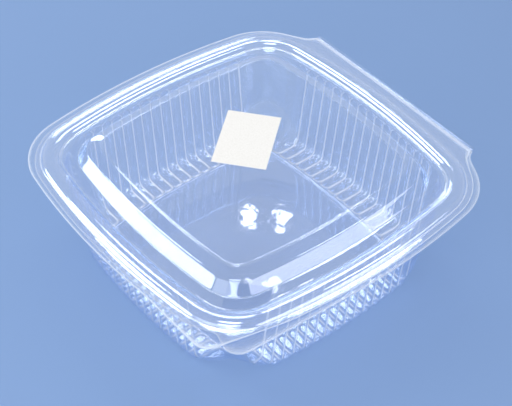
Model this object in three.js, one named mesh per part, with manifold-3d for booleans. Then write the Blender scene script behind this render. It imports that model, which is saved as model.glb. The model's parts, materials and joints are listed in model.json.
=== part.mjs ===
// Hinged clear pastry container: a square fluted tray and a low domed lid, thermoformed from
// one clear PET sheet and joined by a straight hinge bead, with a blank paper label on the lid.
// Millimetres, +Z up. The origin is on the underside of the floor, in its middle.
// X runs along the hinge, which is at +Y, and the two finger tabs are at the +X, -Y corner.
import * as THREE from 'three';
import { mergeVertices } from 'three/addons/utils/BufferGeometryUtils.js';
import Module from 'manifold-3d';

// ---- driving dimensions ----

const sheet = 0.4;            // thickness of the formed sheet
const gap = 0.3;              // clearance between the lid and the tray, and round the hinge bead
const bow = 382;              // radius to which every side bows outwards

const rimHeight = 56.1;       // underside of the tray's rim above the floor
const rimHalf = 95;           // middle of a side to the centre, at the cut edge of the rim
const rimRounding = 39.5;     // centres of the rim's corner arcs, in from its sides
const flange = 4.9;           // flat edge outside the locking bead
const beadWidth = 9.1;        // locking bead from foot to foot
const beadHeight = 3.1;       // crown of the bead above the rim
const beadRounding = 36.1;    // centres of the bead's corner arcs, in from its outer foot

const collar = 1.4;           // ledge between the bead's inner foot and the wall
const collarDrop = 1.8;       // top of the flutes' arches below the rim
const wallDraft = 5.2;        // how far the wall leans in towards the floor
const wallRounding = 30.6;    // centres of the wall's corner arcs, in from its top
const cornerCut = 9;          // how far the floor's corners are cut back inside the wall's
const cornerLift = 20;        // how far the wall ends above the floor there
const cutLead = 5;            // how far before the corner arcs' centres the cut begins
const heel = 2;               // bevel between the wall and the floor

const flutePitch = 6.5;
const fluteDepth = 1.2;       // how far a flute stands out from the wall, and down from the floor
const fluteLength = 13;       // flute length along the floor, from the bevel inwards
const archRise = 3;           // height of the rounded arch that ends each flute
const panelMargin = 1;        // flat strip between the flutes and the floor panel
const panelStep = 0.8;        // width of the step round the floor panel
const panelRounding = 11.6;   // centres of the floor panel's corner arcs, in from its sides

const domeHeight = 9.1;       // top panel of the lid above its rim
const channelWidth = 8.6;     // lid's channel between the bead and the dome
const domeDraft = 5;          // how far the dome's wall leans in towards its shoulder
const shoulderWidth = 7.6;    // shoulder between the dome's wall and the top panel
const shoulderDrop = 2.9;     // shoulder below the top panel
const shoulderRound = 1.3;    // width of the rounded edge of the shoulder
const lidPanelStep = 1.4;     // width of the small step round the top panel
const lidPanelRounding = 12.8; // centres of the top panel's corner arcs, in from its sides

const hingeReach = 2.9;       // hinge axis behind the middle of the rim's edge
const hingeOverrun = 5.1;     // how far the hinge runs past the centres of the rim's corner arcs
const hingeBead = 1.3;        // radius of the hinge bead
const webStart = 62;          // angle on the corner arc at which the hinge web begins, in degrees
const webShoulder = 4.6;      // how far the web narrows from there to the end of the hinge

const tabRound = 8;           // outer corner radius of the finger tabs
const lidTrim = [-1, -1.2];   // cut edge of the lid off its form's centre
const trayTrim = [1.4, 1.2];  // cut edge of the tray off its form's centre

const labelWidth = 28.2;
const labelLength = 40.5;
const labelThickness = 0.15;
const labelLift = 0.05;       // adhesive under the label
const labelCentre = [-10.3, 4.6];
const labelTurn = 39;         // label's short side from the X axis, in degrees

const cornerSteps = 10;
const sideSteps = 8;

// ---- half widths and lengths that follow from them ----

const rimCorner = rimHalf - rimRounding;
const beadOuter = rimHalf - flange;
const beadInner = beadOuter - beadWidth;
const beadCorner = beadOuter - beadRounding;
const wallTop = beadInner - collar;
const wallBottom = wallTop - wallDraft;
const wallCorner = wallTop - wallRounding;
const cutStart = wallCorner - cutLead;
const fluteStart = wallBottom - heel - fluteLength;
const panelHalf = fluteStart - panelMargin - panelStep;
const panelCorner = panelHalf - panelRounding;
const flutesPerSide = Math.floor(2 * bowedSquare(wallBottom, wallCorner).sideEnd / flutePitch);

const domeFoot = beadInner - channelWidth;
const shoulderHalf = domeFoot - domeDraft;
const lidPanelHalf = shoulderHalf - shoulderWidth;
const lidPanelCorner = lidPanelHalf - lidPanelRounding;

const hingeLine = rimHalf + hingeReach;
const hingeHalfLength = rimCorner + hingeOverrun;

// ---- outlines ----

// A level of the body is a bowed square: four side arcs and four corner arcs, tangent to them.
function bowedSquare(half, corner) {
  const sideCentre = half - bow;
  const tangent = Math.atan2(corner, corner - sideCentre);
  const radius = bow - Math.hypot(corner, corner - sideCentre);
  const sideEnd = bow * tangent;
  const next = 2 * sideEnd + radius * (Math.PI / 2 - 2 * tangent);
  return { sideCentre, corner, radius, tangent, sideEnd, next };
}

function turned([x, y], quarter) {
  const [c, s] = [[1, 0], [0, 1], [-1, 0], [0, -1]][quarter];
  return [c * x - s * y, s * x + c * y];
}

// Point on the outline at a distance along it from the middle of a side. The middle of the
// next side is square.next away. An inset moves the point square to the outline, inwards.
function outlinePoint(square, quarter, along, inset = 0) {
  const distance = Math.abs(along);
  const onSide = distance <= square.sideEnd;
  const angle = onSide ? distance / bow : square.tangent + (distance - square.sideEnd) / square.radius;
  const radius = (onSide ? bow : square.radius) - inset;
  const across = (onSide ? square.sideCentre : square.corner) + radius * Math.cos(angle);
  const aside = (onSide ? 0 : square.corner) + radius * Math.sin(angle);
  return turned([across, Math.sign(along) * aside], quarter);
}

const spaced = (from, to, steps) =>
  Array.from({ length: steps + 1 }, (_, i) => from + (to - from) * i / steps);
const stretch = (square, quarter, from, to, steps) =>
  spaced(from, to, steps).map(along => outlinePoint(square, quarter, along));

// Plain ring: every side and every corner arc.
function plainRing(half, corner) {
  const square = bowedSquare(half, corner);
  const { sideEnd, next } = square;
  return [0, 1, 2, 3].flatMap(quarter => [
    ...stretch(square, quarter, -sideEnd, sideEnd, sideSteps).slice(0, -1),
    ...stretch(square, quarter, sideEnd, next - sideEnd, cornerSteps),
  ].slice(0, -1));
}

// One flute across its pitch: where its points lie, and how far out they stand on the wall and
// on the floor, where the flute's bottom is flat to stand on.
const fluteSection = [
  { at: 0, wall: 0, floor: 0, arch: 0 },
  { at: 0.2, wall: 0.75, floor: 1, arch: 0 },
  { at: 0.5, wall: 1, floor: 1, arch: 0.6 },
  { at: 0.8, wall: 0.75, floor: 1, arch: 0 },
];
const halfFlutes = flutesPerSide * flutePitch / 2;

// Share of the corner cut at a distance from the middle of a side.
function cutShare(square, along) {
  const middle = square.next / 2;
  const distance = middle - Math.abs(Math.abs(along) - middle);
  return Math.sin(Math.max(0, distance - cutStart) / (middle - cutStart) * Math.PI / 2);
}

// Ring with the flutes' points on its sides: between the plain level and the level of the
// flutes' peaks, as the named part of the flute section says. A level may be cut at its corners.
function flutedRing(valley, peak, kind, { inset = 0, lift = 0 } = {}) {
  const low = bowedSquare(valley.half, wallCorner);
  const high = bowedSquare(peak.half, wallCorner);
  const place = (quarter, along, share) => {
    const a = outlinePoint(low, quarter, along, inset * cutShare(low, along));
    const b = outlinePoint(high, quarter, along, inset * cutShare(high, along));
    const z = THREE.MathUtils.lerp(valley.z, peak.z, share) + lift * cutShare(low, along);
    return [THREE.MathUtils.lerp(a[0], b[0], share), THREE.MathUtils.lerp(a[1], b[1], share), z];
  };
  const ring = [];
  for (const quarter of [0, 1, 2, 3]) {
    for (let flute = 0; flute < flutesPerSide; flute++) {
      for (const point of fluteSection) {
        const along = (flute + point.at) * flutePitch - halfFlutes;
        ring.push(place(quarter, along, kind ? point[kind] : 0));
      }
    }
    const corner = spaced(halfFlutes, low.next - halfFlutes, cornerSteps).slice(0, -1);
    ring.push(...corner.map(along => place(quarter, along, 0)));
  }
  return ring;
}

// Path through [x, y, radius] vertices, with each inner vertex rounded to its radius.
function roundedPath(vertices, steps = 6) {
  return vertices.flatMap(([x, y, radius], i) => {
    if (!radius) return [[x, y]];
    const vertex = new THREE.Vector2(x, y);
    const back = new THREE.Vector2(...vertices[i - 1]).sub(vertex).normalize();
    const ahead = new THREE.Vector2(...vertices[i + 1]).sub(vertex).normalize();
    const halfAngle = Math.acos(back.dot(ahead)) / 2;
    const start = back.clone().multiplyScalar(radius / Math.tan(halfAngle));
    const middle = back.clone().add(ahead).setLength(radius / Math.sin(halfAngle));
    const turn = (Math.PI - 2 * halfAngle) * Math.sign(back.cross(ahead));
    const spoke = start.sub(middle);
    return Array.from({ length: steps + 1 }, (_, k) => {
      const point = spoke.clone().rotateAround(new THREE.Vector2(), -turn * k / steps);
      return point.add(middle).add(vertex).toArray();
    });
  });
}

// Cut edge of a rim: a bowed square moved by its trim, whose +Y side carries the hinge web and
// whose +X, -Y corner is the finger tab.
function cutEdge(trim, webEdge, tab) {
  const square = bowedSquare(rimHalf, rimCorner);
  const moved = points => points.map(([x, y]) => [x + trim[0], y + trim[1]]);
  const part = (quarter, from, to, steps) => moved(stretch(square, quarter, from, to, steps));
  const spot = (quarter, along) => moved([outlinePoint(square, quarter, along)])[0];
  const { sideEnd, next, radius, tangent } = square;
  const web = sideEnd + radius * (THREE.MathUtils.degToRad(webStart) - tangent);
  const shoulder = (spot(0, web)[1] + webEdge) / 2;
  const hingeWeb = roundedPath([
    spot(0, web),
    [hingeHalfLength + webShoulder / 2, shoulder, 10],
    [hingeHalfLength, webEdge],
    [-hingeHalfLength, webEdge],
    [-hingeHalfLength - webShoulder / 2, shoulder, 10],
    spot(1, next - web),
  ]);
  const tabPath = roundedPath([
    spot(3, tab.start),
    ...tab.vertices,
    spot(0, -tab.finish),
  ]);
  return [
    ...part(0, -tab.finish, sideEnd, sideSteps).slice(1),
    ...part(0, sideEnd, web, cornerSteps).slice(1, -1),
    ...hingeWeb,
    ...part(1, next - web, next - sideEnd, cornerSteps).slice(1),
    ...part(2, -sideEnd, sideEnd, sideSteps).slice(1),
    ...part(2, sideEnd, next - sideEnd, cornerSteps).slice(1),
    ...part(3, -sideEnd, tab.start, sideSteps).slice(1, -1),
    ...tabPath,
  ];
}

// The lid's tab is the front half of the corner; the tray's steps out beside it on the right.
const lidTab = {
  start: 35,
  finish: 50,
  vertices: [[rimHalf - 14.5, -rimHalf + 0.6, tabRound]],
};
const trayTab = {
  start: 45,
  finish: 30,
  vertices: [
    [rimHalf - 32, -rimHalf + 5.9, 15],
    [rimHalf - 19, -rimHalf + 13.3, 6],
    [rimHalf - 2.8, -rimHalf + 5.3, tabRound],
  ],
};

// ---- sections ----

// A section is a list of [half width, height] points along the underside, from the middle out.
// Offset section: every point moved square to the sheet, upwards and inwards if positive. A flat
// panel lies inside the first point.
function offsetPanel(section, distance) {
  return offsetSection([[0, section[0][1]], ...section], distance).slice(1);
}

function offsetSection(section, distance) {
  const normals = section.slice(1).map(([half, z], i) => {
    const along = new THREE.Vector2(half - section[i][0], z - section[i][1]).normalize();
    return new THREE.Vector2(-along.y, along.x);
  });
  return section.map(([half, z], i) => {
    const before = normals[Math.max(i - 1, 0)];
    const after = normals[Math.min(i, normals.length - 1)];
    const mean = before.clone().add(after).normalize();
    const reach = distance / mean.dot(before);
    return [half + mean.x * reach, z + mean.y * reach];
  });
}

const beadMiddle = (beadInner + beadOuter) / 2;
const traySection = {
  floor: [
    [panelHalf, 0],
    [panelHalf + panelStep, fluteDepth],
  ],
  flutes: [
    [fluteStart, fluteDepth],
    [fluteStart + 1.7, fluteDepth],
    [wallBottom - heel, fluteDepth],
    [wallBottom, fluteDepth + heel],
    [wallTop - 0.4, rimHeight - collarDrop - 2 * archRise],
    [wallTop - 0.2, rimHeight - collarDrop - archRise],
    [wallTop, rimHeight - collarDrop],
  ],
  bead: [
    [beadInner, rimHeight + 0.4],
    [beadInner + 1.9, rimHeight + beadHeight - 0.6],
    [beadMiddle, rimHeight + beadHeight],
    [beadOuter - 1.5, rimHeight + beadHeight - 1.1],
    [beadOuter, rimHeight],
  ],
};
const flutedParts = [null, 'floor', 'floor', 'wall', 'wall', 'arch', null];
const cornerCuts = [{}, {}, { inset: cornerCut }, { lift: cornerLift }, {}, {}, {}];

// ---- closed shells ----

const polarAngle = ([x, y]) => Math.atan2(y, x);

// Triangles between two rings. Rings of unequal count are joined in order of polar angle.
function bandFaces(first, second) {
  const faces = [];
  const n = first.points.length;
  const m = second.points.length;
  const a = i => first.start + i % n;
  const b = j => second.start + j % m;
  if (n === m) {
    for (let i = 0; i < n; i++) faces.push([a(i), a(i + 1), b(i + 1)], [a(i), b(i + 1), b(i)]);
    return faces;
  }
  const unwound = ring => {
    const origin = polarAngle(ring.points[0]);
    const full = 2 * Math.PI;
    const rest = ring.points.slice(1).map(p => origin + ((polarAngle(p) - origin) % full + full) % full);
    return [origin, ...rest, origin + full];
  };
  const [anglesA, anglesB] = [unwound(first), unwound(second)];
  let [i, j] = [0, 0];
  while (i < n || j < m) {
    if (j === m || (i < n && anglesA[i + 1] < anglesB[j + 1])) {
      faces.push([a(i), a(i + 1), b(j)]);
      i++;
    } else {
      faces.push([a(i), b(j + 1), b(j)]);
      j++;
    }
  }
  return faces;
}

// Closed shell through a chain of rings, whose first and last rings are capped at their middle.
function shell(rings) {
  const points = [];
  const placed = rings.map(ring => {
    const start = points.length;
    points.push(...ring);
    return { start, points: ring };
  });
  const faces = [];
  for (let i = 1; i < placed.length; i++) faces.push(...bandFaces(placed[i - 1], placed[i]));
  const cap = (ring, flipped) => {
    const middle = points.length;
    points.push([0, 0, ring.points[0][2]]);
    for (let i = 0; i < ring.points.length; i++) {
      const edge = [ring.start + i, ring.start + (i + 1) % ring.points.length];
      faces.push(flipped ? [middle, edge[0], edge[1]] : [middle, edge[1], edge[0]]);
    }
  };
  cap(placed[0], false);
  cap(placed.at(-1), true);
  const geometry = new THREE.BufferGeometry();
  geometry.setAttribute('position', new THREE.Float32BufferAttribute(points.flat(), 3));
  geometry.setIndex(faces.flat());
  return geometry;
}

const level = (ring, z) => ring.map(([x, y]) => [x, y, z]);
const plainLevels = (section, corner) =>
  section.map(([half, z]) => level(plainRing(half, corner), z));

// ---- joining ----

const wasm = await Module();
wasm.setup();

function solid(geometry) {
  const bare = geometry.clone();
  bare.deleteAttribute('normal');
  bare.deleteAttribute('uv');
  const merged = mergeVertices(bare, 1e-4);
  return new wasm.Manifold(new wasm.Mesh({
    numProp: 3,
    vertProperties: new Float32Array(merged.attributes.position.array),
    triVerts: new Uint32Array(merged.index.array),
  }));
}

function joined(...geometries) {
  const mesh = geometries.map(solid).reduce((whole, piece) => whole.add(piece)).getMesh();
  const geometry = new THREE.BufferGeometry();
  geometry.setAttribute('position', new THREE.BufferAttribute(mesh.vertProperties, 3));
  geometry.setIndex(new THREE.BufferAttribute(mesh.triVerts, 1));
  return geometry;
}

// ---- pieces ----

const hingeHeight = rimHeight + sheet + gap / 2;

// One side of the tray's sheet, from the middle of the floor to the cut edge.
function traySurface(lift) {
  const whole = [...traySection.floor, ...traySection.flutes, ...traySection.bead, [rimHalf, rimHeight]];
  const surface = offsetPanel(whole, lift);
  const peaks = offsetPanel(offsetPanel(whole, -fluteDepth), lift);
  const floorEnd = traySection.floor.length;
  const fluteEnd = floorEnd + traySection.flutes.length;
  const fluted = flutedParts.map((kind, i) => {
    const [half, z] = surface[floorEnd + i];
    const [peakHalf, peakZ] = peaks[floorEnd + i];
    return flutedRing({ half, z }, { half: peakHalf, z: peakZ }, kind, cornerCuts[i]);
  });
  return [
    ...plainLevels(surface.slice(0, floorEnd), panelCorner),
    ...fluted,
    ...plainLevels(surface.slice(fluteEnd, -1), beadCorner),
    level(cutEdge(trayTrim, hingeLine, trayTab), surface.at(-1)[1]),
  ];
}

function trayGeometry() {
  const body = shell([...traySurface(0), ...traySurface(sheet).reverse()]);
  const bead = new THREE.CylinderGeometry(hingeBead, hingeBead, 2 * hingeHalfLength, 16);
  bead.rotateZ(Math.PI / 2);
  bead.translate(0, hingeLine, hingeHeight);
  return joined(body, bead);
}

// The lid's bead and rim lie on the tray's, one sheet and one gap above it.
const lidPanelHeight = rimHeight + sheet + gap + domeHeight;
const channelHeight = rimHeight + sheet + gap;
const lidSection = {
  panel: [
    [lidPanelHalf, lidPanelHeight],
    [lidPanelHalf + lidPanelStep, lidPanelHeight - 0.8],
  ],
  dome: [
    [shoulderHalf - shoulderRound, lidPanelHeight - shoulderDrop + 0.5],
    [shoulderHalf, lidPanelHeight - shoulderDrop],
    [domeFoot - 0.6, channelHeight + 0.7],
    [domeFoot, channelHeight],
  ],
  bead: offsetSection([...traySection.bead, [rimHalf, rimHeight]], sheet + gap).slice(0, -1),
};

function lidSurface(lift) {
  const whole = [...lidSection.panel, ...lidSection.dome, ...lidSection.bead, [rimHalf, channelHeight]];
  const surface = offsetPanel(whole, lift);
  const panelEnd = lidSection.panel.length;
  const domeEnd = panelEnd + lidSection.dome.length;
  return [
    ...plainLevels(surface.slice(0, panelEnd), lidPanelCorner),
    ...plainLevels(surface.slice(panelEnd, domeEnd), wallCorner),
    ...plainLevels(surface.slice(domeEnd, -1), beadCorner),
    level(cutEdge(lidTrim, hingeLine - hingeBead - gap, lidTab), surface.at(-1)[1]),
  ];
}

const lidGeometry = () => joined(shell([...lidSurface(0), ...lidSurface(sheet).reverse()]));

// ---- assembly ----

const clearPet = () => new THREE.MeshStandardMaterial({
  color: 0xe6eef6,
  roughness: 0.06,
  metalness: 0,
  transparent: true,
  opacity: 0.35,
});

const group = new THREE.Group();

function addPiece(name, geometry, material) {
  const mesh = new THREE.Mesh(geometry, material);
  mesh.name = name;
  group.add(mesh);
  return mesh;
}

addPiece('tray', trayGeometry(), clearPet());
addPiece('lid', lidGeometry(), clearPet());

const label = addPiece(
  'label',
  new THREE.BoxGeometry(labelWidth, labelLength, labelThickness),
  new THREE.MeshStandardMaterial({ color: 0xfbfbfa, roughness: 0.75, metalness: 0 }),
);
label.position.set(...labelCentre, lidPanelHeight + sheet + labelLift + labelThickness / 2);
label.rotation.z = THREE.MathUtils.degToRad(labelTurn);

export default group;
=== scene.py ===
"""Looks of a clear hinged pastry container: a fluted tray, a domed lid and a blank label.

The container's outlines and sections are in millimetres, turned to metres where a mesh is made.
The sheet's thickness, the materials and the stage are in metres. The frame is the CAD model's: the
origin is in the middle of the floor's underside, +Z is up, X runs along the hinge, which is at +Y,
and the two finger tabs are at the +X, -Y corner.
"""

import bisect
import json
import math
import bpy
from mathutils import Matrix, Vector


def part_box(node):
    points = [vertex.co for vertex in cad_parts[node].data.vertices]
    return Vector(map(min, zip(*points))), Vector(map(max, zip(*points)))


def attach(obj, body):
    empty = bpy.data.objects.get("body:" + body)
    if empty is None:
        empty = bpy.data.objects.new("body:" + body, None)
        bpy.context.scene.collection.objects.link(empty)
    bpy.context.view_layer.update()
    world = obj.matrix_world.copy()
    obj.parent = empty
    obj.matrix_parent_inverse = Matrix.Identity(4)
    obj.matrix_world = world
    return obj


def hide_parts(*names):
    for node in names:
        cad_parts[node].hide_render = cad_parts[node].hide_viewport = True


bl_info = {
    "name": "Hinged Pastry Container",
    "version": (1, 0, 0),
    "blender": (4, 5, 0),
    "location": "View3D > Sidebar > Container",
    "description": "Builds a clear thermoformed tray and lid with a blank label, and their stage",
    "category": "Add Mesh",
}

import bmesh
import bpy
from mathutils import Matrix, Vector

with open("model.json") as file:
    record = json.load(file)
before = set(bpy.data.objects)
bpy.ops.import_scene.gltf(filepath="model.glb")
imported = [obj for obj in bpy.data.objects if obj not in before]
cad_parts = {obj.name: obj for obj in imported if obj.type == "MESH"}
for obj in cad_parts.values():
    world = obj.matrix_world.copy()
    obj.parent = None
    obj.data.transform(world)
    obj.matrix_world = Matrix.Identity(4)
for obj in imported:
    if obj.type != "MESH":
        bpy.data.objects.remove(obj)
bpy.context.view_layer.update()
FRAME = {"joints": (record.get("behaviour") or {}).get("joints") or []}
MM = 0.001

# The hinge's place, and corners of the label's and the lid's boxes, in metres.
HINGE = FRAME["joints"][0]["pos_m"]
LABEL_LOW, LABEL_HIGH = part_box("label")
LID_LOW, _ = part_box("lid")

# Radius to which every side is bowed, in millimetres.
SIDE_BOW = 382.0
# Refractive index of PET.
PET_INDEX = 1.575
# The ways outwards at the middles of the four sides, the +X side first.
SIDES = ((1, 0), (0, 1), (-1, 0), (0, -1))
# Faces that meet at more than this angle are shaded with a crease between them.
CREASE = math.radians(40)

# How far along a rounded corner its points are, and how much of the corner's painted fold highlight
# each one has.
TIGHT_CORNER = ((0.5, 1.0), (1.0, 0.3))
WIDE_CORNER = ((0.25, 0.7), (0.5, 1.0), (0.75, 0.7), (1.0, 0.3))
# How much of the painted fold highlight the point has at which the rounding starts.
CORNER_START = 0.3
# Corners with a smaller radius than this, in millimetres, are tight.
TIGHT_RADIUS = 0.25
# A rounding takes up at most this share of the stretch on either side of its corner.
LONGEST_ROUNDING = 0.49


# ---- outlines ----


def bowed_square(half, corner):
    """The sizes that place a point on a square with bowed sides and tangent corner arcs."""
    reach = math.hypot(corner, corner - half + SIDE_BOW)
    tangent = math.atan2(corner, corner - half + SIDE_BOW)
    radius = SIDE_BOW - reach
    side_end = SIDE_BOW * tangent
    spacing = 2 * side_end + radius * (math.pi / 2 - 2 * tangent)
    return {
        "centre": half - SIDE_BOW,
        "corner": corner,
        "radius": radius,
        "tangent": tangent,
        "side_end": side_end,
        "spacing": spacing,
    }


def on_outline(square, quarter, along, inset=0.0):
    """The point at a distance along the outline from a side's middle, and the way out there."""
    if along > square["spacing"] / 2:
        along -= square["spacing"]
        quarter = (quarter + 1) % 4
    distance = abs(along)
    if distance <= square["side_end"]:
        angle = distance / SIDE_BOW
        middle = Vector((square["centre"], 0))
        radius = SIDE_BOW
    else:
        angle = square["tangent"] + (distance - square["side_end"]) / square["radius"]
        middle = Vector((square["corner"], square["corner"]))
        radius = square["radius"]
    way = Vector((math.cos(angle), math.sin(angle)))
    point = middle + (radius - inset) * way
    if along < 0:
        point.y, way.y = -point.y, -way.y
    c, s = SIDES[quarter]
    turn = Matrix(((c, -s), (s, c)))
    return turn @ point, turn @ way


class Station:
    """One place round the container, at which every level of the form has a point.

    It is at a distance along a side from its middle, or else at a share of the way round the corner
    that follows the side.
    """

    def __init__(self, quarter, along, share):
        self.quarter = quarter
        self.along = along
        self.share = share

    def distance_on(self, square, straight):
        """Distance along an outline: as it is beside the flutes, in proportion round a corner."""
        if self.share is None:
            return self.along
        return straight + self.share * (square["spacing"] - 2 * straight)

    def on(self, half, corner, straight, inset=0.0):
        """The station's point on an outline of a given size, and the way outwards there."""
        square = bowed_square(half, corner)
        return on_outline(square, self.quarter, self.distance_on(square, straight), inset)


def stations(straight, side_steps, corner_steps):
    """Stations round the whole form: the straight part of each side, then the corner after it."""
    made = []
    for quarter in range(4):
        for step in range(side_steps):
            made.append(Station(quarter, straight * (2 * step / side_steps - 1), None))
        for step in range(corner_steps):
            made.append(Station(quarter, None, step / corner_steps))
    return made


def rounded_path(corners, steps=12):
    """A path through (x, y, radius) corners, each inner one rounded to its radius."""
    path = []
    for index, (x, y, radius) in enumerate(corners):
        corner = Vector((x, y))
        if not radius:
            path.append(corner)
            continue
        back = (Vector(corners[index - 1][:2]) - corner).normalized()
        ahead = (Vector(corners[index + 1][:2]) - corner).normalized()
        half_angle = back.angle(ahead) / 2
        start = back * (radius / math.tan(half_angle))
        middle = (back + ahead).normalized() * (radius / math.sin(half_angle))
        turn = (math.pi - 2 * half_angle) * math.copysign(1, back.x * ahead.y - back.y * ahead.x)
        spoke = start - middle
        for step in range(steps + 1):
            a = -turn * step / steps
            swung = Vector(
                (
                    spoke.x * math.cos(a) - spoke.y * math.sin(a),
                    spoke.x * math.sin(a) + spoke.y * math.cos(a),
                )
            )
            path.append(corner + middle + swung)
    return path


def cut_edge(edge, trim, web_edge, tab):
    """The sheet's cut edge as a closed path: a bowed square with a hinge web and a finger tab.

    The trim is how far off the middle the die was, and the web edge is how far from the middle the
    web ends. The tab leaves one side at its start, rejoins the next at its finish, and turns at its
    (x, y, radius) corners.
    """
    side_steps, corner_steps, part_corner_steps = 60, 40, 30
    shoulder_radius = 10
    square = bowed_square(edge.half, edge.corner)
    trim = Vector(trim)
    end, spacing = square["side_end"], square["spacing"]
    web = end + square["radius"] * (edge.web_start - square["tangent"])

    def spot(quarter, along):
        return on_outline(square, quarter, along)[0] + trim

    def run(quarter, first, last, steps):
        return [spot(quarter, first + (last - first) * i / steps) for i in range(steps + 1)]

    hinge_end = edge.hinge_half_length
    root = spot(0, web)
    foot = spot(1, spacing - web)
    shoulder = (root.y + web_edge) / 2
    web_path = rounded_path(
        [
            (*root, 0),
            (hinge_end + edge.web_shoulder / 2, shoulder, shoulder_radius),
            (hinge_end, web_edge, 0),
            (-hinge_end, web_edge, 0),
            (-hinge_end - edge.web_shoulder / 2, shoulder, shoulder_radius),
            (*foot, 0),
        ]
    )
    tab_start, tab_finish = spot(3, tab["start"]), spot(0, -tab["finish"])
    tab_path = rounded_path([(*tab_start, 0), *tab["corners"], (*tab_finish, 0)])
    return [
        *run(0, -tab["finish"], end, side_steps)[1:],
        *run(0, end, web, part_corner_steps)[1:-1],
        *web_path,
        *run(1, spacing - web, spacing - end, part_corner_steps)[1:],
        *run(2, -end, end, side_steps)[1:],
        *run(2, end, spacing - end, corner_steps)[1:],
        *run(3, -end, tab["start"], side_steps)[1:-1],
        *tab_path,
    ]


class RadialEdge:
    """A closed path that is read by direction from the centre."""

    def __init__(self, path):
        bearings = [math.atan2(p.y, p.x) for p in path]
        start = bearings.index(min(bearings))
        self.path = path[start:] + path[:start]
        self.bearings = [math.atan2(p.y, p.x) for p in self.path]
        self.path.append(self.path[0])
        self.bearings.append(self.bearings[0] + 2 * math.pi)

    def towards(self, point):
        """The place on the path that lies in a point's direction."""
        bearing = math.atan2(point.y, point.x)
        if bearing < self.bearings[0]:
            bearing += 2 * math.pi
        index = max(1, min(bisect.bisect(self.bearings, bearing), len(self.path) - 1))
        a, b = self.path[index - 1], self.path[index]
        way = Vector((math.cos(bearing), math.sin(bearing)))
        side = b - a
        along = (a.y * way.x - a.x * way.y) / (side.x * way.y - side.y * way.x)
        return a + side * min(max(along, 0), 1)


# ---- forms ----


def swept_section(corners):
    """A section through (place, radius, steps, fold highlight) corners, rounded by a parabola at
    each.

    The steps are how many points the stretch before a corner has, and the fold highlight is how
    much white highlight is painted along the bend there, from 0 to 1. Gives the points and the
    painted fold highlights at them.
    """
    points, fold_highlights = [corners[0][0]], [corners[0][3]]
    entry = corners[0][0]
    for index, (place, radius, steps, fold_highlight) in enumerate(corners[1:], 1):
        rounded = radius and index < len(corners) - 1
        start = finish = place
        if rounded:
            back, ahead = corners[index - 1][0] - place, corners[index + 1][0] - place
            reach = min(radius, back.length * LONGEST_ROUNDING, ahead.length * LONGEST_ROUNDING)
            start = place + back.normalized() * reach
            finish = place + ahead.normalized() * reach
        points += [entry.lerp(start, step / steps) for step in range(1, steps + 1)]
        fold_highlights += [0.0] * (steps - 1) + [CORNER_START * fold_highlight if rounded else fold_highlight]
        if rounded:
            for t, share in TIGHT_CORNER if radius < TIGHT_RADIUS else WIDE_CORNER:
                points.append(start * (1 - t) ** 2 + place * 2 * t * (1 - t) + finish * t**2)
                fold_highlights.append(share * fold_highlight)
        entry = finish
    return points, fold_highlights


def levels_of(sections):
    """The rings of points and of painted fold highlights that run through all sections at their
    levels.
    """
    points, fold_highlights = zip(*sections)
    return [list(level) for level in zip(*points)], [list(level) for level in zip(*fold_highlights)]


def ring_form(name, rings, fold_highlights):
    """A mesh grown outwards from a small capped ring, one extruded ring for each level.

    The fold highlights are how much white highlight is painted at each point along the sheet's
    bends, kept as an attribute.
    """
    bm = bmesh.new()
    fold_highlight = bm.verts.layers.float.new("fold_highlight")
    points = len(rings[0])
    bmesh.ops.create_circle(bm, cap_ends=True, cap_tris=True, segments=points, radius=1)
    hub = min(bm.verts, key=lambda v: v.co.length)
    ring = sorted(
        (v for v in bm.verts if v != hub),
        key=lambda v: math.atan2(v.co.y, v.co.x) % (2 * math.pi),
    )
    hub.co = (0, 0, sum(p.z for p in rings[0]) / points * MM)
    start = min(range(points), key=lambda i: abs(math.atan2(rings[0][i].y, rings[0][i].x)))
    turned = [level[start:] + level[:start] for level in rings]
    line_highlights = [level[start:] + level[:start] for level in fold_highlights]
    for vert, place in zip(ring, turned[0]):
        vert.co = place * MM
    for level, line_highlight in zip(turned[1:], line_highlights[1:]):
        edges = [bm.edges.get((a, b)) for a, b in zip(ring, ring[1:] + ring[:1])]
        grown = bmesh.ops.extrude_edge_only(bm, edges=edges)
        fresh = {v for v in grown["geom"] if isinstance(v, bmesh.types.BMVert)}
        outer = []
        for vert, place, amount in zip(ring, level, line_highlight):
            neighbours = (e.other_vert(vert) for e in vert.link_edges)
            twin = next(v for v in neighbours if v in fresh)
            twin.co = place * MM
            twin[fold_highlight] = amount
            outer.append(twin)
        ring = outer
    bmesh.ops.recalc_face_normals(bm, faces=bm.faces)
    if next(iter(hub.link_faces)).normal.z < 0:
        bmesh.ops.reverse_faces(bm, faces=bm.faces)
    return finished(name, bm)


def finished(name, bm):
    """A bmesh as an object at the origin, smooth except at creases."""
    for face in bm.faces:
        face.smooth = True
    mesh = bpy.data.meshes.new(name)
    bm.to_mesh(mesh)
    bm.free()
    mesh.set_sharp_from_angle(angle=CREASE)
    piece = bpy.data.objects.new(name, mesh)
    bpy.context.scene.collection.objects.link(piece)
    return piece


def give_thickness(piece, thickness, edge_slot=0):
    """Gives a surface its sheet thickness, up and inwards, with a crisp edge round its rim."""
    wall = piece.modifiers.new("sheet_wall", "SOLIDIFY")
    wall.thickness = thickness
    wall.offset = 1
    wall.use_even_offset = True
    wall.use_quality_normals = True
    wall.material_offset_rim = edge_slot
    walled = piece.evaluated_get(bpy.context.evaluated_depsgraph_get())
    solid = bpy.data.meshes.new_from_object(walled)
    piece.modifiers.remove(wall)
    drawn, piece.data = piece.data, solid
    solid.name = piece.name
    bpy.data.meshes.remove(drawn)
    solid.set_sharp_from_angle(angle=CREASE)


# ---- materials ----


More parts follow.
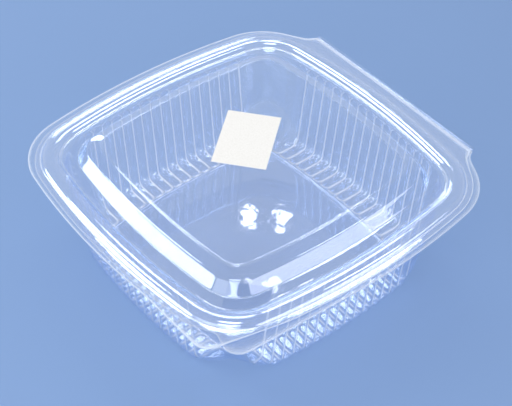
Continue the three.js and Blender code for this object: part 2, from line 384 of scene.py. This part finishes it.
def linear(hex_colour):
    """An sRGB hex colour as a linear RGBA tuple."""
    channels = [int(hex_colour[i : i + 2], 16) / 255 for i in (1, 3, 5)]
    return (*[c / 12.92 if c <= 0.04045 else ((c + 0.055) / 1.055) ** 2.4 for c in channels], 1)


def add_node(tree, kind, links=None, **settings):
    """A node with its settings, its named inputs set to values or linked from sockets."""
    node = tree.nodes.new(kind)
    for key, value in settings.items():
        setattr(node, key, value)
    for key, value in (links or {}).items():
        if isinstance(value, bpy.types.NodeSocket):
            tree.links.new(value, node.inputs[key])
        else:
            node.inputs[key].default_value = value
    return node


def new_material(name):
    """A material with an empty node tree, and that tree."""
    material = bpy.data.materials.new(name)
    material.use_nodes = True
    material.node_tree.nodes.clear()
    return material, material.node_tree


def thermoformed_pet(name, tint):
    """Clear PET sheet drawn over a cold mould: see-through, glossy and brighter at a slant, with
    faint chill waves that break up reflections, and painted highlights: matt white lines painted
    along the folds, standing in for the light that the sheet's bends catch.
    """
    # Distance from one chill wave to the next, in metres.
    chill_wave = 0.009
    # The share of a face that reflects is drawn larger than it is, so that the thin sheet shows.
    gloss_gain = 1.55
    # How white the sheet is all over, from haze, and how much white is painted on at the sharpest
    # fold as a highlight.
    haze, fold_highlight_white = 0.02, 0.95
    # How much of its haze and gloss the sheet takes out of the light of lamps and out of bounced
    # light. It is less than all, because the sheet throws that light on elsewhere.
    light_lost = 0.3
    # How metallic the part that shines is, and how fast that goes as a fold's painted highlight
    # gets stronger.
    mirror, highlight_dulling = 0.95, 3.0

    material, tree = new_material(name)
    place = add_node(tree, "ShaderNodeTexCoord")
    waves = add_node(
        tree,
        "ShaderNodeTexNoise",
        {
            "Vector": place.outputs["Object"],
            "Scale": 1 / chill_wave,
            "Detail": 2.0,
            "Roughness": 0.45,
        },
    )
    relief = add_node(
        tree,
        "ShaderNodeBump",
        {"Height": waves.outputs["Fac"], "Strength": 0.2, "Distance": 0.0003},
    )
    # Both faces of the sheet reflect as its outer face does, so neither traps light.
    faces = add_node(tree, "ShaderNodeNewGeometry")
    index = add_node(
        tree,
        "ShaderNodeMath",
        {0: faces.outputs["Backfacing"], 1: 1 / PET_INDEX - PET_INDEX, 2: PET_INDEX},
        operation="MULTIPLY_ADD",
    )
    gloss = add_node(
        tree, "ShaderNodeFresnel", {"IOR": index.outputs[0], "Normal": relief.outputs["Normal"]}
    )
    # The fold attribute says how much painted highlight each point of a fold gets.
    fold_highlight = add_node(tree, "ShaderNodeAttribute", attribute_name="fold_highlight")
    highlight_weight = add_node(tree, "ShaderNodeMath", {0: fold_highlight.outputs["Fac"], 1: 2.0}, operation="POWER")
    haze_and_highlight = add_node(
        tree,
        "ShaderNodeMath",
        {0: highlight_weight.outputs[0], 1: fold_highlight_white, 2: haze},
        operation="MULTIPLY_ADD",
    )
    seen = add_node(
        tree,
        "ShaderNodeMath",
        {0: gloss.outputs["Fac"], 1: gloss_gain, 2: haze_and_highlight.outputs[0]},
        operation="MULTIPLY_ADD",
        use_clamp=True,
    )
    rays = add_node(tree, "ShaderNodeLightPath")
    passing = add_node(
        tree,
        "ShaderNodeMath",
        {0: rays.outputs["Is Shadow Ray"], 1: rays.outputs["Is Diffuse Ray"]},
        operation="MAXIMUM",
    )
    kept = add_node(
        tree,
        "ShaderNodeMath",
        {0: passing.outputs[0], 1: light_lost - 1, 2: 1.0},
        operation="MULTIPLY_ADD",
    )
    share = add_node(
        tree, "ShaderNodeMath", {0: seen.outputs[0], 1: kept.outputs[0]}, operation="MULTIPLY"
    )
    # Along the folds the sheet is painted matt white, a painted highlight; elsewhere the sheet only
    # shines.
    shine = add_node(
        tree,
        "ShaderNodeMath",
        {0: highlight_weight.outputs[0], 1: -highlight_dulling, 2: mirror},
        operation="MULTIPLY_ADD",
        use_clamp=True,
    )
    sheet = add_node(
        tree,
        "ShaderNodeBsdfPrincipled",
        {
            "Base Color": linear(tint),
            "Metallic": shine.outputs[0],
            "Roughness": 0.035,
            "IOR": PET_INDEX,
            "Normal": relief.outputs["Normal"],
        },
    )
    clear = add_node(tree, "ShaderNodeBsdfTransparent", {"Color": linear("#FEFEFF")})
    mixed = add_node(
        tree,
        "ShaderNodeMixShader",
        {0: share.outputs[0], 1: clear.outputs["BSDF"], 2: sheet.outputs["BSDF"]},
    )
    add_node(tree, "ShaderNodeOutputMaterial", {"Surface": mixed.outputs["Shader"]})
    return material


def trimmed_edge(name, tint):
    """The sheet's edge as the die cut it: slightly rough, so it gathers light and looks pale."""
    material, tree = new_material(name)
    cut = add_node(
        tree,
        "ShaderNodeBsdfPrincipled",
        {"Base Color": linear(tint), "Roughness": 0.35, "IOR": PET_INDEX, "Alpha": 0.6},
    )
    add_node(tree, "ShaderNodeOutputMaterial", {"Surface": cut.outputs["BSDF"]})
    return material


def uncoated_paper(name, colour, shade):
    """Uncoated white label paper: matt, with a faint felt of fibres in a darker shade."""
    # Size of the clumps of fibres in metres, coarser than real ones so that they show.
    fibre_clump = 0.0006
    material, tree = new_material(name)
    place = add_node(tree, "ShaderNodeTexCoord")
    felt = add_node(
        tree,
        "ShaderNodeTexNoise",
        {"Vector": place.outputs["Object"], "Scale": 1 / fibre_clump, "Detail": 3.0},
    )
    relief = add_node(
        tree,
        "ShaderNodeBump",
        {"Height": felt.outputs["Fac"], "Strength": 0.15, "Distance": 0.00005},
    )
    fibres = add_node(tree, "ShaderNodeValToRGB", {"Fac": felt.outputs["Fac"]})
    dark, light = fibres.color_ramp.elements
    dark.position, dark.color = 0.3, linear(shade)
    light.position, light.color = 0.7, linear(colour)
    paper = add_node(
        tree,
        "ShaderNodeBsdfPrincipled",
        {
            "Base Color": fibres.outputs["Color"],
            "Roughness": 0.72,
            "IOR": 1.45,
            "Normal": relief.outputs["Normal"],
        },
    )
    add_node(tree, "ShaderNodeOutputMaterial", {"Surface": paper.outputs["BSDF"]})
    return material


def studio_floor(name, colour):
    """Pale blue matt card, which the container stands on: even, with no shine."""
    material, tree = new_material(name)
    card = add_node(
        tree,
        "ShaderNodeBsdfPrincipled",
        {"Base Color": linear(colour), "Roughness": 0.85, "IOR": 1.45},
    )
    add_node(tree, "ShaderNodeOutputMaterial", {"Surface": card.outputs["BSDF"]})
    return material


# ---- settings ----


def length_setting(label, about, default):
    """A length in millimetres that can be changed in the panel."""
    return bpy.props.FloatProperty(name=label, description=about, default=default, min=0)


class SheetSettings(bpy.types.PropertyGroup):
    """The formed sheet, with its thickness in metres."""

    thickness: bpy.props.FloatProperty(
        name="Sheet", description="Thickness of the formed sheet", default=0.0004, unit="LENGTH"
    )
    # The tint is also the colour of the painted highlights along the folds.
    tint: bpy.props.StringProperty(
        name="Tint", description="Colour of the clear sheet, as sRGB hex", default="#E0EDFF"
    )


class EdgeSettings(bpy.types.PropertyGroup):
    """The rim's cut edge and the hinge web, with lengths in millimetres."""

    half: length_setting("Half Width", "Middle of a side to the centre at the cut edge", 95.0)
    corner: length_setting("Corner Centre", "Centre of the rim's corner arcs", 55.5)
    web_start: bpy.props.FloatProperty(
        name="Web Start",
        description="Angle on the corner arc at which the web begins",
        default=math.radians(62),
        unit="ROTATION",
    )
    web_shoulder: length_setting("Web Shoulder", "How far the web narrows before the hinge", 4.6)
    hinge_half_length: length_setting("Half Hinge", "Half the length of the hinge", 60.6)
    hinge_bead: length_setting("Hinge Bead", "Radius of the hinge bead", 1.3)
    gap: length_setting("Gap", "Clearance between the lid and the tray", 0.3)


class BeadSettings(bpy.types.PropertyGroup):
    """The locking bead round both halves, in millimetres."""

    rim: length_setting("Rim", "Underside of the tray's rim above the floor", 56.1)
    outer: length_setting("Outer Foot", "Outer foot of the bead", 90.1)
    inner: length_setting("Inner Foot", "Inner foot of the bead", 81.0)
    height: length_setting("Height", "Crown of the bead above the rim", 3.1)
    corner: length_setting("Corner Centre", "Centre of the bead's corner arcs", 54.0)


class FluteSettings(bpy.types.PropertyGroup):
    """The flutes in the tray's walls, with lengths in millimetres."""

    count: bpy.props.IntProperty(
        name="Count", description="Flutes on each side", default=16, min=1
    )
    pitch: length_setting("Pitch", "Distance from flute to flute", 6.5)
    depth: length_setting("Depth", "How far a flute stands out", 1.2)
    arch: length_setting("Arch", "Height of the arch that ends a flute", 3.0)


# ---- pieces ----


class BuildTray(bpy.types.Operator):
    """Build the fluted tray with its bead, rim, hinge web and tab"""

    bl_idname = "container.build_tray"
    bl_label = "Tray"

    wall_corner: length_setting("Wall Corner", "Centre of the wall's corner arcs", 49.0)
    wall_bottom: length_setting("Wall Bottom", "Half width at the floor", 74.4)
    wall_top: length_setting("Wall Top", "Half width under the bead", 79.6)
    floor_half: length_setting("Floor", "Half width of the floor panel", 57.6)
    floor_corner: length_setting("Floor Corner", "Centre of the floor panel's corner arcs", 46.0)
    floor_step: length_setting("Floor Step", "Width of the step round the floor panel", 0.8)
    heel: length_setting("Heel", "Bevel between the wall and the floor", 2.0)
    cut_depth: length_setting("Cut", "How far the floor's corners are cut back", 9.0)
    cut_lift: length_setting("Lift", "How far the wall ends above the floor at a corner", 20.0)
    cut_start: length_setting("Cut Start", "Where along a side the corner cut begins", 44.0)
    crown: length_setting("Crown", "How far the floor's middle is raised", 0.5)
    flute_run: length_setting("Flute Run", "How far the flutes run in from the heel", 13.0)

    # How far along a flute from its inner end it still lies on the floor, and how far along it all
    # stands in the wall.
    FLOOR_END = 11
    WALL_START = 14
    # A flute's depth at its inner end, as a share of its full depth.
    SHALLOW_END = 0.2
    # How far off the middle the die was that cut the rim.
    TRIM = (1.4, 1.2)

    def cut_share(self, station, straight):
        """Share of the corner cut at a station: none of it beside the cut, all in its middle."""
        square = bowed_square(self.wall_bottom, self.wall_corner)
        middle = square["spacing"] / 2
        distance = middle - abs(abs(station.distance_on(square, straight)) - middle)
        into_cut = max(0, distance - self.cut_start) / (middle - self.cut_start)
        return math.sin(into_cut * math.pi / 2)

    def section(self, station, flutes, bead, edge_point):
        """The tray's section at a station, from the floor's middle to the cut edge."""
        straight = flutes.count * flutes.pitch / 2
        share = self.cut_share(station, straight)
        lift = self.cut_lift * share
        draft = (self.wall_top - self.wall_bottom) / bead.rim
        heel_half = self.wall_bottom - self.heel

        def at(half, z, corner=self.wall_corner, inset=0.0):
            return Vector((*station.on(half, corner, straight, inset)[0], z))

        panel_edge = at(self.floor_half, 0, self.floor_corner)
        raised = Vector((0, 0, self.crown))
        step_top = at(self.floor_half + self.floor_step, flutes.depth, self.floor_corner)
        flutes_start = at(heel_half - self.flute_run, flutes.depth)
        heel_start = at(heel_half, flutes.depth, inset=self.cut_depth * share)
        heel_end = at(self.wall_bottom, flutes.depth + self.heel + lift, inset=-draft * lift)
        # The wall has more points where the flutes end in arches.
        arches_start = at(self.wall_top - 0.5, bead.rim - 9)
        flutes_end = at(self.wall_top, bead.rim - 1.8)
        bead_middle = (bead.inner + bead.outer) / 2
        bead_top = bead.rim + bead.height
        # Each corner's place, radius, points up to it and painted fold highlight.
        corners = [
            (panel_edge * 0.2 + raised, 0, 0, 0),
            (panel_edge * 0.5 + raised * 0.8, 0, 2, 0),
            (panel_edge * 0.8 + raised * 0.35, 0, 2, 0),
            (panel_edge + panel_edge.normalized() * 0.5, 0.2, 2, 0.2),
            (step_top, 0.2, 1, 0.2),
            (flutes_start, 0.2, 1, 0),
            (heel_start, 2, 8, 0.2),
            (heel_end, 2.5, 3, 0.2),
            (arches_start, 3, 4, 0),
            (flutes_end, 1.2, 8, 0.3),
            (at(bead.inner, bead.rim + 0.4, bead.corner), 0.8, 1, 0.6),
            (at(bead.inner + 1.9, bead_top - 0.6, bead.corner), 1.2, 1, 0.2),
            (at(bead_middle, bead_top, bead.corner), 1.5, 1, 0.1),
            (at(bead.outer - 1.5, bead_top - 1.1, bead.corner), 1.2, 1, 0.2),
            (at(bead.outer, bead.rim, bead.corner), 0.6, 1, 0.6),
            (Vector((*edge_point, bead.rim)), 0, 2, 0.6),
        ]
        points, fold_highlights = swept_section(corners)
        return self.fluted(points, fold_highlights, station, flutes, flutes_start, flutes_end)

    def fluted(self, points, fold_highlights, station, flutes, start, finish):
        """Pushes the points between two ends out into the station's flute, round at both ends."""
        if station.share is not None:
            return points, fold_highlights
        # From 0 in the middle of a flute to 1 at the groove between two.
        across = abs((station.along / flutes.pitch + flutes.count / 2) % 1 * 2 - 1)
        outwards = Vector((*SIDES[station.quarter], 0))
        first = min(range(len(points)), key=lambda i: (points[i] - start).length)
        last = min(range(len(points)), key=lambda i: (points[i] - finish).length)
        lengths = [0]
        for a, b in zip(points[first:], points[first + 1 : last + 1]):
            lengths.append(lengths[-1] + (b - a).length)
        shaped = list(points)
        for index, run in zip(range(first, last + 1), lengths):
            on_floor = (self.WALL_START - run) / (self.WALL_START - self.FLOOR_END)
            on_floor = max(0, min(1, on_floor))
            lost = (1 - self.SHALLOW_END) * on_floor * max(0, 1 - run / self.FLOOR_END)
            near_end = min(run, lengths[-1] - run)
            past = max(0, 1 - near_end / flutes.arch)
            reach = math.hypot(across, past)
            # Round in the wall, and flatter on top on the floor.
            swell = max(0, 1 - reach ** (2 + 3 * on_floor))
            tangent = points[min(index + 1, last)] - points[max(index - 1, first)]
            spread = tangent.dot(outwards)
            way = (outwards * tangent.z - Vector((0, 0, 1)) * spread).normalized()
            shaped[index] = points[index] + way * flutes.depth * (1 - lost) * swell
            # A painted highlight line runs along each flute's grooves and round its arched ends.
            if past < 1:
                highlight_width = 0.24 + 0.1 * on_floor
                strongest_highlight = 0.78 + 0.12 * on_floor
                line_highlight = 1 - abs(reach - 1) / highlight_width
                fold_highlights[index] = max(fold_highlights[index], line_highlight * strongest_highlight)
        return shaped, fold_highlights

    def execute(self, context):
        scene = context.scene
        flutes, bead, edge = scene.container_flutes, scene.container_bead, scene.container_edge
        straight = flutes.count * flutes.pitch / 2
        points_per_flute, points_per_corner = 8, 24
        around = stations(straight, flutes.count * points_per_flute, points_per_corner)
        tab = {
            "start": 45,
            "finish": 30,
            "corners": [
                (edge.half - 32, -edge.half + 5.9, 15),
                (edge.half - 19, -edge.half + 13.3, 6),
                (edge.half - 2.8, -edge.half + 5.3, 8),
            ],
        }
        path = RadialEdge(cut_edge(edge, self.TRIM, HINGE[1] / MM, tab))
        sections = []
        for station in around:
            outer, _ = station.on(bead.outer, bead.corner, straight)
            sections.append(self.section(station, flutes, bead, path.towards(outer)))
        tray = ring_form("formed_tray", *levels_of(sections))
        tint = scene.container_sheet.tint
        tray.data.materials.append(thermoformed_pet("Thermoformed PET", tint))
        tray.data.materials.append(trimmed_edge("Die-Cut PET Edge", tint))
        give_thickness(tray, scene.container_sheet.thickness, edge_slot=1)
        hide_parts("tray")
        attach(tray, "tray")
        return {"FINISHED"}


class BuildHingeBead(bpy.types.Operator):
    """Build the half-round bead along the hinge"""

    bl_idname = "container.build_hinge_bead"
    bl_label = "Hinge Bead"

    def execute(self, context):
        edge = context.scene.container_edge
        end_rounding = 0.3 * MM
        bm = bmesh.new()
        bmesh.ops.create_cone(
            bm,
            cap_ends=True,
            segments=32,
            radius1=edge.hinge_bead * MM,
            radius2=edge.hinge_bead * MM,
            depth=2 * edge.hinge_half_length * MM,
        )
        caps = [e for e in bm.edges if len({round(v.co.z, 6) for v in e.verts}) == 1]
        bmesh.ops.bevel(
            bm,
            geom=caps,
            offset=end_rounding,
            offset_type="OFFSET",
            affect="EDGES",
            segments=3,
            profile=0.5,
            material=-1,
        )
        bmesh.ops.rotate(bm, verts=bm.verts, matrix=Matrix.Rotation(math.pi / 2, 3, "Y"))
        bmesh.ops.translate(bm, verts=bm.verts, vec=Vector(HINGE))
        bead = finished("hinge_bead", bm)
        bead.data.materials.append(bpy.data.materials["Thermoformed PET"])
        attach(bead, "tray")
        return {"FINISHED"}


class BuildLid(bpy.types.Operator):
    """Build the domed lid with its bead, rim, hinge web and tab"""

    bl_idname = "container.build_lid"
    bl_label = "Lid"

    wall_corner: length_setting("Dome Corner", "Centre of the dome's corner arcs", 49.0)
    panel_corner: length_setting("Panel Corner", "Centre of the top panel's corner arcs", 47.0)
    panel_half: length_setting("Panel", "Half width of the top panel", 60.2)
    panel_step: length_setting("Panel Step", "Width of the step round the top panel", 0.6)
    shoulder_half: length_setting("Shoulder", "Half width of the dome at its shoulder", 67.4)
    shoulder_drop: length_setting("Shoulder Drop", "Shoulder below the top panel", 2.9)
    dome_foot: length_setting("Dome Foot", "Half width of the dome at the channel", 72.4)
    dome_height: length_setting("Dome Height", "Top panel above the lid's rim", 9.1)

    # How far off the middle the die was that cut the rim.
    TRIM = (-1.0, -1.2)

    def section(self, station, straight, lift, bead, edge_point):
        """The lid's section at a station, from the panel's middle to the cut edge."""
        channel = bead.rim + lift
        top = channel + self.dome_height
        shoulder = top - self.shoulder_drop

        def at(half, z, corner):
            return Vector((*station.on(half, corner, straight)[0], z))

        panel_edge = at(self.panel_half, 0, self.panel_corner)
        height = Vector((0, 0, top))
        step_foot = at(self.panel_half + self.panel_step, top - 0.5, self.panel_corner)
        bead_middle = (bead.inner + bead.outer) / 2 - 0.1
        bead_top = channel + bead.height
        # Each corner's place, radius, points up to it and painted fold highlight.
        corners = [
            (panel_edge * 0.25 + height, 0, 0, 0),
            (panel_edge * 0.6 + height, 4, 2, 0),
            (panel_edge + height, 0.25, 3, 0.4),
            (step_foot, 0.3, 1, 0.4),
            (at(self.shoulder_half - 1.3, shoulder + 0.5, self.wall_corner), 1, 2, 0),
            (at(self.shoulder_half, shoulder, self.wall_corner), 1.2, 1, 0.2),
            (at(self.dome_foot - 0.6, channel + 0.7, self.wall_corner), 0.5, 4, 0),
            (at(self.dome_foot, channel, self.wall_corner), 0.6, 1, 0.45),
            (at(bead.inner - 1.0, channel, bead.corner), 1, 3, 0.45),
            (at(bead.inner + 1.3, bead_top - 0.6, bead.corner), 1.3, 2, 0.2),
            (at(bead_middle, bead_top, bead.corner), 1.5, 1, 0.1),
            (at(bead.outer - 1.2, bead_top - 1.0, bead.corner), 1.2, 1, 0.2),
            (at(bead.outer + 0.4, channel, bead.corner), 0.6, 2, 0.6),
            (Vector((*edge_point, channel)), 0, 3, 0.8),
        ]
        return swept_section(corners)

    def execute(self, context):
        scene = context.scene
        bead, edge = scene.container_bead, scene.container_edge
        straight = 50
        points_per_side, points_per_corner = 40, 28
        around = stations(straight, points_per_side, points_per_corner)
        tab = {
            "start": 35,
            "finish": 50,
            "corners": [(edge.half - 14.5, -edge.half + 0.6, 8)],
        }
        lift = scene.container_sheet.thickness / MM + edge.gap
        web_edge = HINGE[1] / MM - edge.hinge_bead - edge.gap
        path = RadialEdge(cut_edge(edge, self.TRIM, web_edge, tab))
        sections = []
        for station in around:
            outer, _ = station.on(bead.outer, bead.corner, straight)
            sections.append(self.section(station, straight, lift, bead, path.towards(outer)))
        lid = ring_form("formed_lid", *levels_of(sections))
        lid.data.materials.append(bpy.data.materials["Thermoformed PET"])
        lid.data.materials.append(bpy.data.materials["Die-Cut PET Edge"])
        give_thickness(lid, scene.container_sheet.thickness, edge_slot=1)
        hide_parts("lid")
        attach(lid, "lid")
        return {"FINISHED"}


class BuildLabel(bpy.types.Operator):
    """Build the blank paper label on the lid's top panel"""

    bl_idname = "container.build_label"
    bl_label = "Label"

    width: length_setting("Width", "Length of the short side", 28.2)
    length: length_setting("Length", "Length of the long side", 40.5)
    turn: bpy.props.FloatProperty(
        name="Turn",
        description="Short side from the hinge's direction",
        default=math.radians(39),
        unit="ROTATION",
    )

    def execute(self, context):
        bm = bmesh.new()
        bmesh.ops.create_grid(bm, x_segments=14, y_segments=20, size=0.5)
        bmesh.ops.scale(bm, verts=bm.verts, vec=Vector((self.width * MM, self.length * MM, 1)))
        bmesh.ops.rotate(bm, verts=bm.verts, matrix=Matrix.Rotation(self.turn, 3, "Z"))
        middle = (LABEL_LOW + LABEL_HIGH) / 2
        bmesh.ops.translate(bm, verts=bm.verts, vec=Vector((middle.x, middle.y, LABEL_LOW.z)))
        label = finished("paper_label", bm)
        label.data.materials.append(uncoated_paper("Uncoated Paper", "#F7F7F6", "#E9E9E6"))
        give_thickness(label, LABEL_HIGH.z - LABEL_LOW.z)
        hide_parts("label")
        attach(label, "lid")
        return {"FINISHED"}


# ---- stage ----


# Each lamp's name, way from the container, distance, size, power and colour, in metres and watts.
LAMPS = (
    # Front left, low and then high: the dome's front slope and the bead along the front.
    ("key_softbox", (-0.56, -0.79, 0.25), 1.1, (1.1, 0.40), 5.3, "#FFFEFA"),
    ("window_softbox", (-0.57, -0.45, 0.69), 1.2, (0.28, 0.54), 2.4, "#FFFFFF"),
    # High: the bead along the right, the bead at the near corner, and the crowns of all beads.
    ("far_softbox", (0.42, 0.47, 0.77), 1.2, (0.14, 0.34), 0.9, "#FFFFFF"),
    ("near_softbox", (0.20, -0.26, 0.95), 1.2, (0.44, 0.38), 2.1, "#FFFFFF"),
    ("crest_softbox", (-0.36, 0.25, 0.90), 1.2, (0.26, 0.30), 1.2, "#FFFFFF"),
    # High at the left: the flutes' ribs on the floor, along the left and along the back.
    ("rib_softbox", (-0.30, 0.46, 0.83), 1.2, (0.22, 0.34), 1.3, "#FFFFFF"),
    ("heel_softbox", (-0.53, 0.18, 0.83), 1.2, (0.22, 0.28), 1.0, "#FFFFFF"),
    # Beside the camera: the outer faces of the bead at the near corner.
    ("camera_softbox", (0.40, -0.90, 0.47), 1.4, (1.7, 0.34), 2.0, "#FFFEFC"),
    ("corner_softbox", (0.55, -0.62, 0.60), 1.2, (0.60, 0.42), 1.9, "#FFFFFF"),
    # Right, low and then lower: the dome's right slope and the outer faces of the rim there.
    ("side_softbox", (0.87, 0.28, 0.38), 1.2, (1.3, 0.36), 2.8, "#FFF6F8"),
    ("low_softbox", (0.97, 0.10, 0.20), 1.2, (0.8, 0.26), 3.4, "#FFFFFF"),
    # Low at the left: the bead along the left.
    ("back_softbox", (-0.88, 0.38, 0.29), 1.2, (0.6, 0.28), 2.2, "#FFFFFF"),
    # Two bare bulbs: the two bright spots in the lid's flat panel.
    ("left_bulb", (-0.52, 0.43, 0.74), 0.88, (0.022, 0.022), 0.010, "#FFF8F2"),
    ("right_bulb", (-0.49, 0.46, 0.74), 0.88, (0.016, 0.022), 0.006, "#FFF8F2"),
)


def look_along(view, target, roll=0.0):
    """Rotation of a camera or lamp that looks from view towards target."""
    turn = (Vector(target) - Vector(view)).to_track_quat("-Z", "Y").to_matrix()
    return (turn @ Matrix.Rotation(roll, 3, "Z")).to_euler()


def softbox(name, towards, distance, size, power, colour):
    """An oval area lamp that shines on the container from a direction."""
    aim = Vector((0, 0, 0.05))
    lamp = bpy.data.lights.new(name, "AREA")
    lamp.shape = "ELLIPSE"
    lamp.size, lamp.size_y = size
    lamp.energy = power
    lamp.color = linear(colour)[:3]
    box = bpy.data.objects.new(name, lamp)
    box.location = Vector(towards).normalized() * distance + aim
    box.rotation_euler = look_along(box.location, aim)
    bpy.context.scene.collection.objects.link(box)


def studio_sky(name, colour, lit, shown):
    """A world that lights at one level and shows at another, to the eye and in gloss."""
    world = bpy.data.worlds.new(name)
    world.use_nodes = True
    tree = world.node_tree
    tree.nodes.clear()
    rays = add_node(tree, "ShaderNodeLightPath")
    looked_at = rays.outputs["Is Camera Ray"]
    for kind in ("Is Glossy Ray", "Is Transmission Ray"):
        links = {0: looked_at, 1: rays.outputs[kind]}
        looked_at = add_node(tree, "ShaderNodeMath", links, operation="MAXIMUM").outputs[0]
    level = add_node(
        tree, "ShaderNodeMath", {0: looked_at, 1: shown - lit, 2: lit}, operation="MULTIPLY_ADD"
    )
    sky = add_node(
        tree, "ShaderNodeBackground", {"Color": linear(colour), "Strength": level.outputs[0]}
    )
    add_node(tree, "ShaderNodeOutputWorld", {"Surface": sky.outputs["Background"]})
    return world


class BuildStage(bpy.types.Operator):
    """Build the floor, the lamps, the sky and the camera"""

    bl_idname = "container.build_stage"
    bl_label = "Stage"

    # The camera's place as seen from the container, and its turn about the line of sight.
    AZIMUTH, ELEVATION, ROLL = math.radians(50.249), math.radians(42.876), math.radians(0.964)
    DISTANCE = 0.7395
    TARGET = (-0.0010, -0.0012)
    FOCAL_LENGTH, SENSOR = 102.16, 36
    SHIFT = (0.0134, -0.0691)
    FLOOR_RADIUS = 1.2

    def execute(self, context):
        scene = context.scene
        bm = bmesh.new()
        bmesh.ops.create_circle(bm, cap_ends=True, segments=128, radius=self.FLOOR_RADIUS)
        floor = finished("studio_floor", bm)
        floor.data.materials.append(studio_floor("Pale Card", "#809FCE"))

        for lamp in LAMPS:
            softbox(*lamp)
        # The studio's white walls show in the gloss, and light the container much less.
        scene.world = studio_sky("Studio Sky", "#FBFCFF", lit=0.20, shown=0.86)

        back = Vector(
            (
                math.sin(self.AZIMUTH) * math.cos(self.ELEVATION),
                -math.cos(self.AZIMUTH) * math.cos(self.ELEVATION),
                math.sin(self.ELEVATION),
            )
        )
        target = Vector((*self.TARGET, LID_LOW.z))
        lens = bpy.data.cameras.new("studio_camera")
        lens.sensor_width = self.SENSOR
        lens.lens = self.FOCAL_LENGTH
        lens.shift_x, lens.shift_y = self.SHIFT
        camera = bpy.data.objects.new("studio_camera", lens)
        camera.location = target + back * self.DISTANCE
        camera.rotation_euler = look_along(camera.location, target, self.ROLL)
        scene.collection.objects.link(camera)
        scene.camera = camera

        scene.view_settings.view_transform = "Standard"
        # Two thin sheets over each other need many passes of light through their faces.
        scene.cycles.max_bounces = 32
        scene.cycles.transmission_bounces = 32
        scene.cycles.glossy_bounces = 12
        scene.cycles.transparent_max_bounces = 48
        return {"FINISHED"}


# ---- add-on ----

SETTINGS = {
    "container_sheet": SheetSettings,
    "container_edge": EdgeSettings,
    "container_bead": BeadSettings,
    "container_flutes": FluteSettings,
}
STEPS = (BuildTray, BuildHingeBead, BuildLid, BuildLabel, BuildStage)


class ContainerPanel(bpy.types.Panel):
    """Lists the steps that build the container"""

    bl_idname = "VIEW3D_PT_container"
    bl_label = "Pastry Container"
    bl_space_type = "VIEW_3D"
    bl_region_type = "UI"
    bl_category = "Container"

    def draw(self, context):
        for step in STEPS:
            self.layout.operator(step.bl_idname)


def register():
    for settings in SETTINGS.values():
        bpy.utils.register_class(settings)
    for name, settings in SETTINGS.items():
        setattr(bpy.types.Scene, name, bpy.props.PointerProperty(type=settings))
    for step in (*STEPS, ContainerPanel):
        bpy.utils.register_class(step)


def unregister():
    for step in reversed((*STEPS, ContainerPanel)):
        bpy.utils.unregister_class(step)
    for name in SETTINGS:
        delattr(bpy.types.Scene, name)
    for settings in reversed(list(SETTINGS.values())):
        bpy.utils.unregister_class(settings)


def main():
    register()
    bpy.ops.container.build_tray()
    bpy.ops.container.build_hinge_bead()
    bpy.ops.container.build_lid()
    bpy.ops.container.build_label()
    bpy.ops.container.build_stage()


if __name__ == "__main__":
    main()
